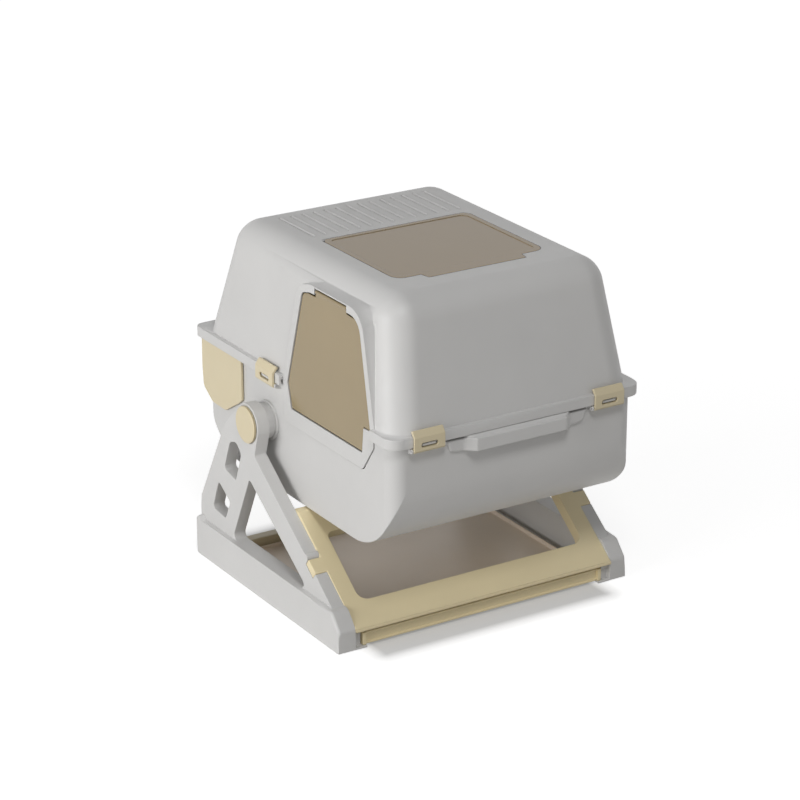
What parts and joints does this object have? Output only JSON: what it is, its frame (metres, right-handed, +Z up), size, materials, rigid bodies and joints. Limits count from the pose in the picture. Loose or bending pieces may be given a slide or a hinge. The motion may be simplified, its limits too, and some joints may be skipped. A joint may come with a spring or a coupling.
{
  "type": "drawer litter box",
  "caption": "Enclosed roll-to-sift litter box hung on an A-frame stand, with a side flap door, roof window, side waste drawer and pull-out base tray.",
  "frame": {"origin": "middle of the footprint's bounding box, on the floor", "axes": "+Z up, -Y towards the front with the handle, -X towards the side with the door and drawer"},
  "size_m": [0.5014, 0.5764, 0.529],
  "materials": {
    "white_plastic": "fine satin",
    "yellow_plastic": "satin",
    "tinted_clear": "smooth, see-through",
    "rubber": "matte",
    "steel": "plain",
    "bearing_plastic": "smooth"
  },
  "bodies": {
    "stand": {"side_frame_left": "white_plastic", "side_frame_right": "white_plastic", "front_panel": "yellow_plastic", "rear_crossbar": "yellow_plastic", "frame_screws": "steel", "feet": "rubber", "stop_pads": "rubber", "pivot_bush_left": "bearing_plastic", "pivot_bush_right": "bearing_plastic"},
    "tray": {"base_tray": "white_plastic", "tray_lip": "yellow_plastic"},
    "box": {"tub": "white_plastic", "drawer_housing": "white_plastic", "pivot_axle_left": "white_plastic", "pivot_axle_right": "white_plastic", "pivot_nuts": "white_plastic", "pivot_cap_left": "yellow_plastic", "pivot_cap_right": "yellow_plastic", "front_handle": "white_plastic", "sieve_screen": "white_plastic", "latch_brackets": "white_plastic", "latch_pins": "steel"},
    "drawer": {"waste_drawer": "yellow_plastic"},
    "hood_body": {"hood": "white_plastic", "window_pins": "steel", "door_pins": "steel"},
    "window": {"window_lid": "tinted_clear"},
    "door": {"door_flap": "tinted_clear"},
    "latch_front_left_body": {"latch_front_left": "yellow_plastic"},
    "latch_front_right_body": {"latch_front_right": "yellow_plastic"},
    "latch_rear_left_body": {"latch_rear_left": "yellow_plastic"},
    "latch_rear_right_body": {"latch_rear_right": "yellow_plastic"},
    "latch_side_left_body": {"latch_side_left": "yellow_plastic"},
    "latch_side_right_body": {"latch_side_right": "yellow_plastic"}
  },
  "joints": [
    {"name": "box_roll", "type": "hinge", "parent": "stand", "child": "box", "pos_m": [0, 0.0715, 0.2599], "axis": [1, 0, 0], "range_deg": [-85, 0]},
    {"name": "tray_slide", "type": "slide", "parent": "stand", "child": "tray", "axis": [0, -1, 0], "range_m": [0, 0.26]},
    {"name": "hood_lift", "type": "slide", "parent": "box", "child": "hood_body", "axis": [0, 0, 1], "range_m": [0, 0.06]},
    {"name": "drawer_slide", "type": "slide", "parent": "box", "child": "drawer", "axis": [-1, 0, 0], "range_m": [0, 0.18]},
    {"name": "window_hinge", "type": "hinge", "parent": "hood_body", "child": "window", "pos_m": [0, 0.0498, 0.527], "axis": [-1, 0, 0], "range_deg": [0, 95]},
    {"name": "door_hinge", "type": "hinge", "parent": "hood_body", "child": "door", "pos_m": [-0.2037, -0.1102, 0.4995], "axis": [0, 1, 0], "range_deg": [-60, 75]},
    {"name": "latch_front_left_hinge", "type": "hinge", "parent": "box", "child": "latch_front_left_body", "pos_m": [-0.152, -0.2796, 0.3256], "axis": [1, 0, 0], "range_deg": [0, 172]},
    {"name": "latch_front_right_hinge", "type": "hinge", "parent": "box", "child": "latch_front_right_body", "pos_m": [0.152, -0.2796, 0.3256], "axis": [1, 0, 0], "range_deg": [0, 172]},
    {"name": "latch_rear_left_hinge", "type": "hinge", "parent": "box", "child": "latch_rear_left_body", "pos_m": [-0.139, 0.2832, 0.3256], "axis": [-1, 0, 0], "range_deg": [0, 172]},
    {"name": "latch_rear_right_hinge", "type": "hinge", "parent": "box", "child": "latch_rear_right_body", "pos_m": [0.139, 0.2832, 0.3256], "axis": [-1, 0, 0], "range_deg": [0, 172]},
    {"name": "latch_side_left_hinge", "type": "hinge", "parent": "box", "child": "latch_side_left_body", "pos_m": [-0.2124, 0.0627, 0.3256], "axis": [0, -1, 0], "range_deg": [0, 172]},
    {"name": "latch_side_right_hinge", "type": "hinge", "parent": "box", "child": "latch_side_right_body", "pos_m": [0.2124, 0.0627, 0.3256], "axis": [0, 1, 0], "range_deg": [0, 172]}
  ],
  "couplings": [
    {"joint": "latch_front_left_hinge", "follows": "hood_lift", "rad_per_m": 50},
    {"joint": "latch_front_right_hinge", "follows": "hood_lift", "rad_per_m": 50},
    {"joint": "latch_rear_left_hinge", "follows": "hood_lift", "rad_per_m": 50},
    {"joint": "latch_rear_right_hinge", "follows": "hood_lift", "rad_per_m": 50},
    {"joint": "latch_side_left_hinge", "follows": "hood_lift", "rad_per_m": 50},
    {"joint": "latch_side_right_hinge", "follows": "hood_lift", "rad_per_m": 50}
  ]
}
